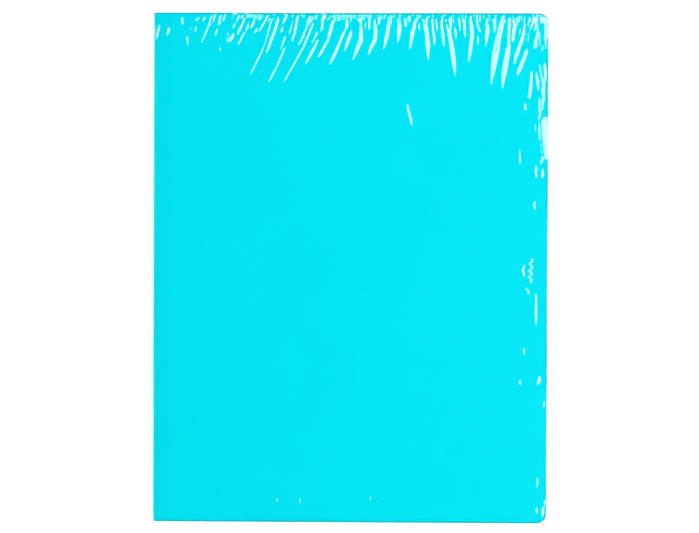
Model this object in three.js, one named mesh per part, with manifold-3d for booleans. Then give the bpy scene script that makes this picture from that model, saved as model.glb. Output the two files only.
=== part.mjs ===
// An A4 display book: a file folder whose clear pockets are bound into a cover of
// creased polypropylene sheet, as it is sold in a shrink-wrap film.
//
// The book lies closed on its back cover. +X runs from the spine to the fore edge,
// +Y to the head of the book, where the pockets open, and +Z up through the pages.
// The origin is the middle of the footprint, on the surface that the book lies on.
// All sizes are in millimetres.
import * as THREE from "three";
import { mergeVertices } from "three/addons/utils/BufferGeometryUtils.js";
import Module from "manifold-3d";

const wasm = await Module();
wasm.setup();

// Cover: one sheet, creased along both edges of the spine
const coverWidth = 240; // outer face of the spine to the fore edge
const coverHeight = 310;
const coverCornerRadius = 6; // at the fore edge; the spine's corners are square
const sheetThickness = 0.7;
const creaseGap = 0.3; // between the spine's rounded edge and the cover that turns on it

// Pockets: folded clear film, welded beside the spine and at the foot, open at the head
const pocketCount = 20;
const pocketHeight = 305;
const pocketWall = 0.06;
const pocketSlot = 0.18; // room for the paper between the two walls
const pocketAirGap = 0.2; // between neighbouring pockets
const foreEdgeMargin = 5.5; // the cover overhangs the pockets by this much
const spineWeldWidth = 8; // blank margin of a pocket beside the spine
const footWeldWidth = 2.5;
const foldWidth = 0.6; // where a pocket's film folds over at the fore edge
const stackClearance = 0.4; // between a cover and the pocket next to it

// Binding: the pockets' welded margins make a core that stands on the spine
const bindingSeat = 0.05; // between the spine and the core
const thinnestCore = 0.5; // at the pockets next to the covers
const turningClearance = 0.1; // between a pocket that turns on its fold line and the core

// Shrink film, slit along the middle of the three open edges
const filmThickness = 0.1;
const filmGap = 0.7; // between the cover and the film, whose wrinkles fill it
const filmSlit = 0.3;

// Sizes that follow from the ones above
const pocketThickness = 2 * pocketWall + pocketSlot;
const pocketPitch = pocketThickness + pocketAirGap;
const stackThickness = (pocketCount - 1) * pocketPitch + pocketThickness;
const spineWidth = stackThickness + 2 * stackClearance + 2 * sheetThickness;
const filmOffset = filmGap + filmThickness; // from the cover to the film's outer face
const bottomOfCover = filmOffset;
const topOfCover = bottomOfCover + spineWidth;
const middle = (bottomOfCover + topOfCover) / 2;
const spineX = -coverWidth / 2; // outer face of the spine
const foreX = coverWidth / 2;
const creaseRadius = sheetThickness / 2;
const creaseX = spineX + creaseRadius; // the lines that the covers turn about
const coverX = creaseX + creaseRadius + creaseGap; // where a cover's panel begins
const turningRadius = pocketThickness * Math.SQRT1_2; // of a pocket's edge round its fold line
const coreSetback = turningRadius + turningClearance; // from a fold line back to the core
const outermostFoldX = spineX + sheetThickness + bindingSeat + thinnestCore + coreSetback;

const materials = {
  cover: new THREE.MeshStandardMaterial({ color: 0x00dcf0, roughness: 0.42, metalness: 0 }),
  core: new THREE.MeshStandardMaterial({ color: 0xd3e6ea, roughness: 0.5, metalness: 0 }),
  pocket: new THREE.MeshStandardMaterial({
    color: 0xe9f3f5,
    roughness: 0.25,
    metalness: 0,
    transparent: true,
    opacity: 0.35,
  }),
  film: new THREE.MeshStandardMaterial({
    color: 0xffffff,
    roughness: 0.08,
    metalness: 0,
    transparent: true,
    opacity: 0.15,
  }),
};

// The height of a pocket, counted from 0 at the back cover.
function pocketZ(index) {
  return middle + (index - (pocketCount - 1) / 2) * pocketPitch;
}

// The fold lines step away from the spine towards the middle of the stack. So the
// pockets lie flat on each other when the book is closed and when it lies wide open.
function foldX(index) {
  const stepsIn = Math.min(index, pocketCount - 1 - index);
  return outermostFoldX + stepsIn * pocketPitch;
}

// The outline of a cover, or of the film that far outside it: square at the creases,
// round at the corners of the fore edge.
function coverOutline(startX, offset) {
  const endX = foreX + offset;
  const halfHeight = coverHeight / 2 + offset;
  const radius = coverCornerRadius + offset;
  const shape = new THREE.Shape();
  shape.moveTo(startX, -halfHeight);
  shape.lineTo(endX - radius, -halfHeight);
  shape.absarc(endX - radius, -halfHeight + radius, radius, -Math.PI / 2, 0, false);
  shape.lineTo(endX, halfHeight - radius);
  shape.absarc(endX - radius, halfHeight - radius, radius, 0, Math.PI / 2, false);
  shape.lineTo(startX, halfHeight);
  shape.closePath();
  return shape;
}

// A flat sheet of that outline, from height z0 to z1.
function sheet(outline, z0, z1) {
  const geometry = new THREE.ExtrudeGeometry(outline, {
    depth: z1 - z0,
    bevelEnabled: false,
    curveSegments: 8,
  });
  return geometry.translate(0, 0, z0);
}

// A section drawn in X and Z, run along Y from -halfLength to halfLength.
function runAlongY(section, halfLength) {
  const geometry = new THREE.ExtrudeGeometry(section, {
    depth: 2 * halfLength,
    bevelEnabled: false,
    curveSegments: 8,
  });
  return geometry.rotateX(Math.PI / 2).translate(0, halfLength, 0);
}

// A box between two corners.
function boxBetween(x0, y0, z0, x1, y1, z1) {
  const geometry = new THREE.BoxGeometry(x1 - x0, y1 - y0, z1 - z0);
  return geometry.translate((x0 + x1) / 2, (y0 + y1) / 2, (z0 + z1) / 2);
}

function toSolid(geometry) {
  const bare = geometry.clone();
  bare.deleteAttribute("normal");
  bare.deleteAttribute("uv");
  const merged = mergeVertices(bare);
  return new wasm.Manifold(
    new wasm.Mesh({
      numProp: 3,
      vertProperties: new Float32Array(merged.attributes.position.array),
      triVerts: new Uint32Array(merged.index.array),
    }),
  );
}

function toGeometry(solid) {
  const mesh = solid.getMesh();
  const geometry = new THREE.BufferGeometry();
  geometry.setAttribute("position", new THREE.BufferAttribute(mesh.vertProperties, 3));
  geometry.setIndex(new THREE.BufferAttribute(mesh.triVerts, 1));
  geometry.computeVertexNormals();
  return geometry;
}

// The spine's wall: both edges are rounded about the creases.
function spineSection() {
  const lowCreaseZ = bottomOfCover + creaseRadius;
  const highCreaseZ = topOfCover - creaseRadius;
  const section = new THREE.Shape();
  section.moveTo(spineX, lowCreaseZ);
  section.absarc(creaseX, lowCreaseZ, creaseRadius, Math.PI, 2 * Math.PI, false);
  section.lineTo(spineX + sheetThickness, highCreaseZ);
  section.absarc(creaseX, highCreaseZ, creaseRadius, 0, Math.PI, false);
  section.closePath();
  return section;
}

// The core of welded margins: its face steps out and in again, one step for each pocket.
function coreSection() {
  const backX = spineX + sheetThickness + bindingSeat;
  const section = new THREE.Shape();
  section.moveTo(backX, pocketZ(0) - pocketPitch / 2);
  for (let i = 0; i < pocketCount; i++) {
    section.lineTo(foldX(i) - coreSetback, pocketZ(i) - pocketPitch / 2);
    section.lineTo(foldX(i) - coreSetback, pocketZ(i) + pocketPitch / 2);
  }
  section.lineTo(backX, pocketZ(pocketCount - 1) + pocketPitch / 2);
  section.closePath();
  return section;
}

// One pocket: two walls with a slot between them that opens at the head. It starts half
// its thickness in front of its fold line.
function pocketGeometry(index) {
  const z = pocketZ(index);
  const halfHeight = pocketHeight / 2;
  const startX = foldX(index) + pocketThickness / 2;
  const endX = foreX - foreEdgeMargin;
  const pocket = boxBetween(
    startX,
    -halfHeight,
    z - pocketThickness / 2,
    endX,
    halfHeight,
    z + pocketThickness / 2,
  );
  const slot = boxBetween(
    foldX(0) + spineWeldWidth,
    -halfHeight + footWeldWidth,
    z - pocketSlot / 2,
    endX - foldWidth,
    halfHeight + footWeldWidth,
    z + pocketSlot / 2,
  );
  return toGeometry(toSolid(pocket).subtract(toSolid(slot)));
}

// The band of film that stands along the three open edges, from height z0 to z1.
function filmEdge(z0, z1) {
  const outer = toSolid(sheet(coverOutline(coverX, filmOffset), z0, z1));
  const room = sheet(coverOutline(coverX - filmGap, filmGap), z0 - filmGap, z1 + filmGap);
  return toGeometry(outer.subtract(toSolid(room)));
}

function named(name, geometry, material) {
  const mesh = new THREE.Mesh(geometry, material);
  mesh.name = name;
  return mesh;
}

function makeCover() {
  const outline = coverOutline(coverX, 0);
  const back = sheet(outline, bottomOfCover, bottomOfCover + sheetThickness);
  const spine = runAlongY(spineSection(), coverHeight / 2);
  const front = sheet(outline, topOfCover - sheetThickness, topOfCover);
  const cover = new THREE.Group();
  cover.add(
    named("cover_back", back, materials.cover),
    named("cover_spine", spine, materials.cover),
    named("cover_front", front, materials.cover),
  );
  return cover;
}

function makePockets() {
  const pockets = new THREE.Group();
  pockets.add(named("binding_core", runAlongY(coreSection(), pocketHeight / 2), materials.core));
  for (let i = 0; i < pocketCount; i++) {
    const name = `pocket_${String(i + 1).padStart(2, "0")}`;
    pockets.add(named(name, pocketGeometry(i), materials.pocket));
  }
  return pockets;
}

function makeShrinkFilm() {
  const outline = coverOutline(coverX, filmOffset);
  const top = topOfCover + filmOffset;
  const halfLength = coverHeight / 2 + filmGap;
  const spine = boxBetween(
    spineX - filmOffset,
    -halfLength,
    bottomOfCover,
    spineX - filmGap,
    halfLength,
    topOfCover,
  );
  const film = new THREE.Group();
  film.add(
    named("film_back_panel", sheet(outline, 0, filmThickness), materials.film),
    named("film_back_edge", filmEdge(filmThickness, middle - filmSlit / 2), materials.film),
    named("film_spine", spine, materials.film),
    named("film_front_edge", filmEdge(middle + filmSlit / 2, top - filmThickness), materials.film),
    named("film_front_panel", sheet(outline, top - filmThickness, top), materials.film),
  );
  return film;
}

const displayBook = new THREE.Group();
displayBook.add(makeCover(), makePockets(), makeShrinkFilm());

export default displayBook;
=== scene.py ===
import math

import bpy
import numpy as np
from mathutils import Matrix, Vector


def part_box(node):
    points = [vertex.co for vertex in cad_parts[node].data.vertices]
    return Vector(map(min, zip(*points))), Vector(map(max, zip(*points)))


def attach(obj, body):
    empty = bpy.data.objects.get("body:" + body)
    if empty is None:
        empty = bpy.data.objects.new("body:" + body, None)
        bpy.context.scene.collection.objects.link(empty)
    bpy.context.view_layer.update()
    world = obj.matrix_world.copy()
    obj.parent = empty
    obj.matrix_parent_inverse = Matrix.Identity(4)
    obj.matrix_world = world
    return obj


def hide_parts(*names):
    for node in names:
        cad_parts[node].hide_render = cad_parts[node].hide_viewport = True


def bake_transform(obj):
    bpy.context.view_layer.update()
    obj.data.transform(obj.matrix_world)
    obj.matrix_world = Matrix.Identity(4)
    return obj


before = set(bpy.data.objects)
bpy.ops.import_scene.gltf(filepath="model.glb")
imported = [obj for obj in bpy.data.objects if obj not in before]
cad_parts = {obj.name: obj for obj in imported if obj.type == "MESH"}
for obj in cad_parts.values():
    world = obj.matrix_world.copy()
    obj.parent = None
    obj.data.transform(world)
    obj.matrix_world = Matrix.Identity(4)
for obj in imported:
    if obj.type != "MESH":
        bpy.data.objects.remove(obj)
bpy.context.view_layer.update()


# Camera: it hangs over the book as on a copy stand, with a long lens, and stands a little
# nearer to the head and the fore edge than to the foot and the spine.
CAMERA_PLACE = (0.0118, 0.0111, 1.0163)
CAMERA_TURN = (-0.577, 0.703, 0.227)  # degrees about X, Y and Z
LENS = 85.0  # mm, on a sensor 36 mm wide

camera_data = bpy.data.cameras.new("copy_stand_camera")
camera_data.lens = LENS
camera_data.sensor_width = 36.0
camera_data.clip_start = 0.01
camera_data.clip_end = 20.0
camera = bpy.data.objects.new("copy_stand_camera", camera_data)
bpy.context.scene.collection.objects.link(camera)
camera.location = CAMERA_PLACE
camera.rotation_euler = [math.radians(angle) for angle in CAMERA_TURN]
bpy.context.scene.camera = camera


# Cover: one sheet of cyan polypropylene, 0.7 mm thick, creased along both edges of the spine.
# It is cut with a die, so that its edges are slightly rounded. Here it is made in two halves,
# which meet along the middle of the spine's wall.
MM = 0.001
SHEET = 0.7 * MM
CREASE_RADIUS = 1.0 * MM  # of the outer face where the sheet turns from the spine to a panel
CREASE_STEPS = 10
EDGE_ROUNDING = 0.16 * MM
EDGE_SHADE = 0.35 * MM  # as far in as this, the sheet's colour is darkened with painted shade along its cut edge
EDGE_SHADE_FADE = 0.8 * MM
CORNER_RADIUS = 6.0 * MM
CORNER_STEPS = 8
PANEL_STEP = 6.0 * MM
WALL_STEP = 2.5 * MM  # up the spine's wall

front_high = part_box("cover_front")[1]
spine_low, spine_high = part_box("cover_spine")
BACK_Z = spine_low.z
FRONT_Z = spine_high.z
MIDDLE_Z = (BACK_Z + FRONT_Z) / 2
SPINE_X = spine_low.x
FORE_X = front_high.x
HALF_HEIGHT = front_high.y
CORNER_X = FORE_X - CORNER_RADIUS  # the middle of a round corner
CORNER_Y = HALF_HEIGHT - CORNER_RADIUS


def steps(start, end, length):
    """Even steps from start to end, none longer than length."""
    count = max(1, math.ceil(abs(end - start) / length - 1e-6))
    return list(np.linspace(start, end, count + 1))


def panel_section(face_offset, fore_inset, columns):
    """The run of a sheet from the middle of the spine, round the crease and over the panel."""
    radius = CREASE_RADIUS + face_offset
    wall_x = SPINE_X - face_offset
    top_z = FRONT_Z + face_offset
    centre_x = wall_x + radius
    centre_z = top_z - radius
    run = [(wall_x, z) for z in steps(MIDDLE_Z, centre_z, WALL_STEP)]
    for turn in np.linspace(0, math.pi / 2, CREASE_STEPS + 1)[1:]:
        run.append((centre_x - radius * math.cos(turn), centre_z + radius * math.sin(turn)))
    run += [(x, top_z) for x in columns if centre_x + 1e-6 < x < FORE_X - fore_inset - 1e-7]
    run.append((FORE_X - fore_inset, top_z))
    return run


def sheet_grid(run, rows, radius):
    """Points, faces and point numbers of a sheet with that run in X and Z and those rows in Y.
    Its two corners at the fore edge are round."""
    x = np.array([[p[0]] * len(rows) for p in run])
    z = np.array([[p[1]] * len(rows) for p in run])
    y = np.array([rows] * len(run))
    along = np.clip((x - CORNER_X) / radius, 0, 1)
    up = np.clip((np.abs(y) - CORNER_Y) / radius, 0, 1)
    x = x + radius * along * (np.sqrt(1 - up**2 / 2) - 1)
    y = y + np.sign(y) * radius * up * (np.sqrt(1 - along**2 / 2) - 1)
    index = np.arange(x.size).reshape(x.shape)
    quads = np.stack([index[:-1, :-1], index[1:, :-1], index[1:, 1:], index[:-1, 1:]], -1)
    return np.stack([x, y, z], -1).reshape(-1, 3), quads.reshape(-1, 4), index


def open_rim(index):
    """The rim of a sheet along the head, the fore edge and the foot."""
    return np.concatenate([index[:, -1], index[-1, -2:0:-1], index[:, 0][::-1]])


def rim_outward(points):
    """The directions in which the rim of a sheet faces."""
    out = np.zeros_like(points)
    out[:, 0] = np.clip(points[:, 0] - CORNER_X, 0, None)
    out[:, 1] = np.sign(points[:, 1]) * np.clip(np.abs(points[:, 1]) - CORNER_Y, 0, None)
    return out / np.linalg.norm(out, axis=1)[:, None]


def from_outline(x, y):
    """How far inside the cover's three open edges a place is, up to the radius of a corner."""
    across = np.clip(x - CORNER_X, 0, None)
    up = np.clip(np.abs(y) - CORNER_Y, 0, None)
    return CORNER_RADIUS - np.hypot(across, up)


def add_rings(points, rim, outward, rings):
    """Rings of faces round a rim. Each ring is an offset outwards and one in Z. Returns all the
    points and the rings' faces."""
    points = [points]
    quads = []
    start = points[0][rim]
    inner = rim
    count = len(points[0])
    for offset, rise in rings:
        ring = start + outward * offset
        ring[:, 2] += rise
        outer = np.arange(count, count + len(rim))
        quads.append(np.stack([inner[:-1], inner[1:], outer[1:], outer[:-1]], -1))
        points.append(ring)
        inner = outer
        count += len(rim)
    return np.concatenate(points), np.concatenate(quads)


def facing(points, faces):
    """The direction in which each point of a mesh faces. Each array of faces holds those with
    the same number of corners."""
    total = np.zeros_like(points)
    for same in faces:
        sides = same.shape[1]
        corners = [points[same[:, k]] for k in range(sides)]
        across = sum(np.cross(corners[k], corners[(k + 1) % sides]) for k in range(sides))
        for k in range(sides):
            np.add.at(total, same[:, k], across)
    return total / np.linalg.norm(total, axis=1)[:, None]


def add_object(name, data):
    """An object in the scene, with that data."""
    made = bpy.data.objects.new(name, data)
    bpy.context.scene.collection.objects.link(made)
    return made


def thick_sheet(name, points, faces, half):
    """A closed solid about a sheet of points, that thick on either side."""
    normal = facing(points, faces) * np.broadcast_to(half, (len(points),))[:, None]
    count = len(points)
    edges = [same[:, [k, (k + 1) % same.shape[1]]] for same in faces for k in range(same.shape[1])]
    edges = np.concatenate(edges).tolist()
    keys = {(a, b) for a, b in edges}
    solid = [face for same in faces for face in same.tolist() + (same[:, ::-1] + count).tolist()]
    solid += [(b, a, a + count, b + count) for a, b in edges if (b, a) not in keys]
    mesh = bpy.data.meshes.new(name)
    mesh.from_pydata(np.concatenate([points + normal, points - normal]).tolist(), [], solid)
    mesh.validate()
    mesh.shade_smooth()
    return add_object(name, mesh)


def mirror_to_back(points, faces):
    """The same sheet at the back of the book."""
    flipped = points * np.array([1, 1, -1]) + np.array([0, 0, 2 * MIDDLE_Z])
    return flipped, [same[:, ::-1] for same in faces]


def new_material(name):
    """A material whose nodes are cleared, with its output."""
    material = bpy.data.materials.new(name)
    material.use_nodes = True
    material.node_tree.nodes.clear()
    output = material.node_tree.nodes.new("ShaderNodeOutputMaterial")
    return material, material.node_tree, output


def node(tree, kind, inputs=None, **settings):
    """A node with its settings, and with its inputs set to values or joined to sockets."""
    made = tree.nodes.new(kind)
    for key, value in settings.items():
        setattr(made, key, value)
    for key, value in (inputs or {}).items():
        if isinstance(value, bpy.types.NodeSocket):
            tree.links.new(value, made.inputs[key])
        else:
            made.inputs[key].default_value = value
    return made


def sum_of(tree, operation, first, second=0.0):
    """The result of one sum on two values, or on the first of them."""
    return node(tree, "ShaderNodeMath", {0: first, 1: second}, operation=operation).outputs[0]


def times(tree, first, *others):
    """The product of some values."""
    for other in others:
        first = sum_of(tree, "MULTIPLY", first, other)
    return first


def ramp(tree, value, from_min, from_max, to_min=0.0, to_max=1.0):
    """A value spread smoothly from one range to another."""
    spread = {"Value": value, "From Min": from_min, "From Max": from_max}
    spread.update({"To Min": to_min, "To Max": to_max})
    return node(tree, "ShaderNodeMapRange", spread, interpolation_type="SMOOTHSTEP").outputs[0]


def object_axes(tree):
    """The X, Y and Z of a place on the object."""
    place = node(tree, "ShaderNodeTexCoord").outputs["Object"]
    return node(tree, "ShaderNodeSeparateXYZ", {0: place}).outputs


def mix_colours(tree, share, first, second):
    """A colour with that share of the second one."""
    colours = {0: share, 6: first, 7: second}
    return node(tree, "ShaderNodeMix", colours, data_type="RGBA").outputs[2]


def bump(tree, height, strength, depth):
    """The normal of a surface with a fine relief."""
    relief = {"Height": height, "Strength": strength, "Distance": depth}
    return node(tree, "ShaderNodeBump", relief).outputs[0]


def add_socket(tree, label, kind, value=None, in_out="INPUT"):
    """A named input or output of a tree of nodes."""
    socket = tree.interface.new_socket(label, in_out=in_out, socket_type="NodeSocket" + kind)
    if value is not None:
        socket.default_value = value


def grain_group():
    """Fine satin grain of a calendered plastic sheet: a height for bump and a light mottle."""
    group = bpy.data.node_groups.new("sheet_grain", "ShaderNodeTree")
    for label, value in (("Grain Size", 0.00035), ("Mottle Size", 0.012), ("Detail", 3.0)):
        add_socket(group, label, "Float", value)
    for label in ("Height", "Mottle"):
        add_socket(group, label, "Float", in_out="OUTPUT")
    sizes = node(group, "NodeGroupInput").outputs
    place = node(group, "ShaderNodeTexCoord").outputs["Object"]
    results = {}
    for label, size, detail in (
        ("Height", "Grain Size", sizes["Detail"]),
        ("Mottle", "Mottle Size", 4.0),
    ):
        scale = sum_of(group, "DIVIDE", 1.0, sizes[size])
        noise = {"Vector": place, "Scale": scale, "Detail": detail}
        results[label] = node(group, "ShaderNodeTexNoise", noise).outputs[0]
    node(group, "NodeGroupOutput", results)
    return group


sheet_grain = grain_group()


def grain_of(tree, grain_size, mottle_size, detail=3.0):
    """The height and the mottle of a sheet's grain."""
    sizes = {"Grain Size": grain_size, "Mottle Size": mottle_size, "Detail": detail}
    return node(tree, "ShaderNodeGroup", sizes, node_tree=sheet_grain).outputs


def cover_material():
    """Satin cyan polypropylene, with painted shade: darker along its cut edge and beside the spine."""
    material, tree, output = new_material("cyan_polypropylene")
    grain = grain_of(tree, 0.0004, 0.03)
    # Painted shade: the colour darkens towards the spine over its last 16 mm.
    spine_shade = ramp(tree, object_axes(tree)["X"], SPINE_X, SPINE_X + 16 * MM, 1.0, 0.0)
    # Painted shade: a dark band along the cut edge, about a millimetre wide.
    rim = node(tree, "ShaderNodeAttribute", attribute_name="painted_edge_shade").outputs["Fac"]
    lighter = mix_colours(tree, grain["Mottle"], (0.0, 0.600, 0.697, 1), (0.0, 0.628, 0.722, 1))
    spine_shaded = mix_colours(tree, spine_shade, lighter, (0.0, 0.586, 0.689, 1))
    surface = {
        "Base Color": mix_colours(tree, rim, spine_shaded, (0.0, 0.270, 0.335, 1)),
        "Roughness": ramp(tree, grain["Mottle"], 0.3, 0.7, 0.40, 0.48),
        "Specular IOR Level": 0.12,
        "Specular Tint": (0.05, 0.95, 1.0, 1),
        "Normal": bump(tree, grain["Height"], 0.12, 0.00005),
    }
    shader = node(tree, "ShaderNodeBsdfPrincipled", surface)
    tree.links.new(shader.outputs[0], output.inputs["Surface"])
    return material


def cover_half():
    """Points, faces and thickness of the front half of the cover, about its middle surface."""
    half = SHEET / 2
    inset = EDGE_ROUNDING
    columns = steps(SPINE_X + CREASE_RADIUS, CORNER_X, PANEL_STEP)
    columns += steps(CORNER_X, FORE_X - inset, CORNER_RADIUS / CORNER_STEPS)[1:]
    run = panel_section(-half, inset, columns)
    rows = steps(0, CORNER_Y, PANEL_STEP)
    rows += steps(CORNER_Y, HALF_HEIGHT - inset, CORNER_RADIUS / CORNER_STEPS)[1:]
    rows = [-y for y in rows[:0:-1]] + rows
    points, quads, index = sheet_grid(run, rows, CORNER_RADIUS - inset)
    rim = open_rim(index)
    rings = [(inset * share, 0) for share in (0.38, 0.71, 0.92, 1.0)]
    thinner = [inset * share for share in (0.08, 0.29, 0.62, 1.0)]
    points, rounding = add_rings(points, rim, rim_outward(points[rim]), rings)
    thickness = np.full(len(points), half)
    for k, cut in enumerate(thinner):
        start = index.size + k * len(rim)
        thickness[start : start + len(rim)] -= cut
    return points, [quads, rounding], thickness


def paint_edge_shade(piece):
    """Marks how near each point of the cover is to the sheet's cut edge, from 0 to 1: the share of
    painted shade that darkens its colour there.
    """
    places = np.array([v.co for v in piece.data.vertices])
    distance = from_outline(places[:, 0], places[:, 1])
    # Painted shade: full near the edge, fading out further in.
    near = np.clip(1 - (distance - EDGE_SHADE) / EDGE_SHADE_FADE, 0, 1)
    attribute = piece.data.attributes.new("painted_edge_shade", "FLOAT", "POINT")
    attribute.data.foreach_set("value", near.astype(np.float32))


cyan = cover_material()
half_points, half_faces, half_thickness = cover_half()
cover_front = thick_sheet("cover_front_half", half_points, half_faces, half_thickness)
cover_back = thick_sheet("cover_back_half", *mirror_to_back(half_points, half_faces), half_thickness)
for piece, panel, body, turn_z, panel_z in (
    (cover_front, "cover_front", "front", FRONT_Z - 1.0 * MM, FRONT_Z - SHEET / 2),
    (cover_back, "cover_back", "back", BACK_Z + 1.0 * MM, BACK_Z + SHEET / 2),
):
    paint_edge_shade(piece)
    piece.data.materials.append(cyan)
    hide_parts(panel, "cover_spine")
    if body == "front":
        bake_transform(piece)
    else:
        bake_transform(piece)


# Pockets: each is a clear film folded over at the fore edge, welded beside the spine and along
# the foot, and open at the head. Twenty of them lie on each other. The welds are pressed with
# ribbed jaws, which leave a row of short raised bars.
POCKET_COUNT = 20
POCKET_SIZES = {
    "Start": 0.0,
    "End": 0.2,
    "Half Height": 0.15,
    "Middle Z": 0.0,
    "Wall": 0.06 * MM,
    "Slot": 0.18 * MM,
    "Spine Weld": 8 * MM,
    "Foot Weld": 2.5 * MM,
    "Wave": 0.1 * MM,
    "Bar Pitch": 1.6 * MM,
}
WELD_SEAM = 0.002 * MM  # half the joint between the two walls where they are welded
SPINE_WELD_SLOPE = 4 * MM  # over which the walls part beside the weld
FOOT_WELD_SLOPE = 3 * MM
FOLD_ROUNDING = 0.9 * MM
ROWS_TO_FOOT = 1.6  # the power by which the rows of the mesh stand closer towards the foot
WAVES_ACROSS, WAVES_ENDWISE = 34.0, 21.0  # of the film, in radians to the metre
BAR_RADIUS = 0.3 * MM
SPINE_BAR, SPINE_BAR_TURN = 3.2 * MM, math.radians(68)
FOOT_BAR, FOOT_BAR_TURN = 1.4 * MM, math.radians(24)
BAR_FLATNESS = 0.32  # height of a bar as a share of its width
FROSTED_SHARE = 0.7  # of the light that a fold or a cut edge scatters
FROSTED_FROM, FROSTED_TO = 0.6 * MM, 0.2 * MM  # inside the fold or edge, where that begins and is full
SCATTERING_FACES = 12  # the faces of film, counted from outside, that scatter light


def clear_plastic(name, tint, milk, haze, low_share, gloss, mirror, grain_depth, frosted=None):
    """Thin clear plastic: light goes straight through, less of it where the surface is seen at
    a low angle, and the rest is mirrored, or scattered in a milky tone. frosted gives the X of a
    fold and the Y of the cut edges, which look white. Such a film lets all the light through
    that falls on the films under it, and scatters only at the outermost faces."""
    material, tree, output = new_material(name)
    grain = grain_of(tree, 0.0012, 0.02, 0.5 if frosted else 3.0)
    through = node(tree, "ShaderNodeBsdfTransparent", {"Color": tint})
    surface = {
        "Base Color": milk,
        "Metallic": mirror,
        "Roughness": gloss,
        "Normal": bump(tree, grain["Height"], grain_depth, 0.0001),
    }
    if not frosted:
        surface["Roughness"] = ramp(tree, grain["Mottle"], 0.3, 0.7, gloss, gloss + 0.05)
    mirrored = node(tree, "ShaderNodeBsdfPrincipled", surface)
    low_angle = node(tree, "ShaderNodeLayerWeight", {"Blend": 0.5}).outputs["Facing"]
    steep = sum_of(tree, "POWER", low_angle, 5.0)
    share = sum_of(tree, "ADD", times(tree, steep, low_share - haze), haze)
    if frosted:
        fold_x, cut_y = frosted
        axes = object_axes(tree)
        from_middle = sum_of(tree, "ABSOLUTE", axes["Y"])
        at_fold = ramp(tree, axes["X"], fold_x - FROSTED_FROM, fold_x - FROSTED_TO)
        at_cut = ramp(tree, from_middle, cut_y - FROSTED_FROM, cut_y - FROSTED_TO)
        white = times(tree, sum_of(tree, "MAXIMUM", at_fold, at_cut), FROSTED_SHARE)
        share = sum_of(tree, "MAXIMUM", share, white)
        light = node(tree, "ShaderNodeLightPath").outputs
        outermost = sum_of(tree, "LESS_THAN", light["Transparent Depth"], SCATTERING_FACES)
        seen = sum_of(tree, "SUBTRACT", outermost, light["Is Shadow Ray"])
        share = times(tree, share, sum_of(tree, "MAXIMUM", seen, 0.0))
    mixed = node(tree, "ShaderNodeMixShader", {0: share, 1: through.outputs[0], 2: mirrored.outputs[0]})
    tree.links.new(mixed.outputs[0], output.inputs["Surface"])
    return material


def less(tree, first, *others):
    """What is left of a value when the others are taken from it."""
    for other in others:
        first = sum_of(tree, "SUBTRACT", first, other)
    return first


def past(tree, value, start, length):
    """0 up to start, 1 from start + length on."""
    return ramp(tree, value, start, sum_of(tree, "ADD", start, length))


def vector(tree, x=0.0, y=0.0, z=0.0):
    """Three values as one vector."""
    return node(tree, "ShaderNodeCombineXYZ", {0: x, 1: y, 2: z}).outputs[0]


def join(tree, *parts):
    """Some geometries as one."""
    joined = node(tree, "GeometryNodeJoinGeometry")
    for part in parts:
        tree.links.new(part, joined.inputs[0])
    return joined.outputs[0]


def film_tree(name, sizes, *geometries):
    """Geometry Nodes with an input for each geometry, each size and the film's material."""
    tree = bpy.data.node_groups.new(name, "GeometryNodeTree")
    add_socket(tree, "Geometry", "Geometry", in_out="OUTPUT")
    for label in geometries:
        add_socket(tree, label, "Geometry")
    for label, value in sizes.items():
        add_socket(tree, label, "Float", value)
    add_socket(tree, "Film", "Material")
    return tree, node(tree, "NodeGroupInput").outputs


def set_result(tree, geometry, film):
    """Makes a geometry the result of the tree, in the film's material."""
    real = node(tree, "GeometryNodeRealizeInstances", {"Geometry": geometry})
    coated = node(tree, "GeometryNodeSetMaterial", {"Geometry": real.outputs[0], "Material": film})
    node(tree, "NodeGroupOutput", {0: coated.outputs[0]})


def row_of_bars(tree, start, step, row_length, pitch, bar_length, turn):
    """A row of short raised bars that the ribbed jaws leave along a weld."""
    count = sum_of(tree, "FLOOR", sum_of(tree, "DIVIDE", row_length, pitch))
    row = {"Count": count, "Start Location": start, "Offset": step}
    line = node(tree, "GeometryNodeMeshLine", row, mode="OFFSET")
    size = {"Vertices": 6, "Radius": BAR_RADIUS, "Depth": bar_length}
    bar = node(tree, "GeometryNodeMeshCylinder", size, fill_type="TRIANGLE_FAN")
    lying = {"Geometry": bar.outputs["Mesh"], "Rotation": (math.pi / 2, 0, 0)}
    laid = node(tree, "GeometryNodeTransform", lying)
    flattened = {"Geometry": laid.outputs[0], "Scale": (1, 1, BAR_FLATNESS)}
    flat = node(tree, "GeometryNodeTransform", flattened)
    placed = {"Points": line.outputs[0], "Instance": flat.outputs[0], "Rotation": (0, 0, turn)}
    return node(tree, "GeometryNodeInstanceOnPoints", placed).outputs[0]


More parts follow.
